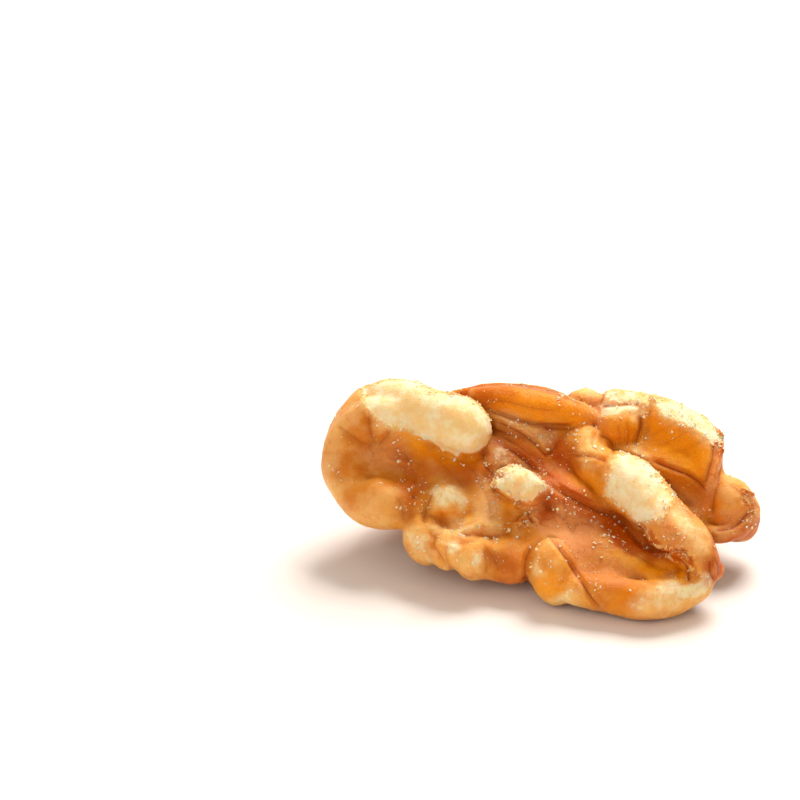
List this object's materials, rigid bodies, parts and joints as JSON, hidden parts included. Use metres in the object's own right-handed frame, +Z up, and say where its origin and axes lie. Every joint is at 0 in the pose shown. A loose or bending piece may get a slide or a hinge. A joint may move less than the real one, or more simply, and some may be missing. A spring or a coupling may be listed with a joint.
{
  "type": "shelled walnut half",
  "caption": "Shelled walnut half: one grown kernel with rounded lobes and folds, resting on three low points of its round side.",
  "frame": {"origin": "under the middle of the kernel's box, on the surface that it rests on", "axes": "+X along the kernel's length toward its small end lobe, +Z up, the thin front edge of the inner face toward -Y"},
  "size_m": [0.0364, 0.0214, 0.0136],
  "materials": {
    "kernel": "thin glossy brown skin over cream flesh"
  },
  "bodies": {
    "root": {"kernel": "kernel"}
  },
  "joints": []
}
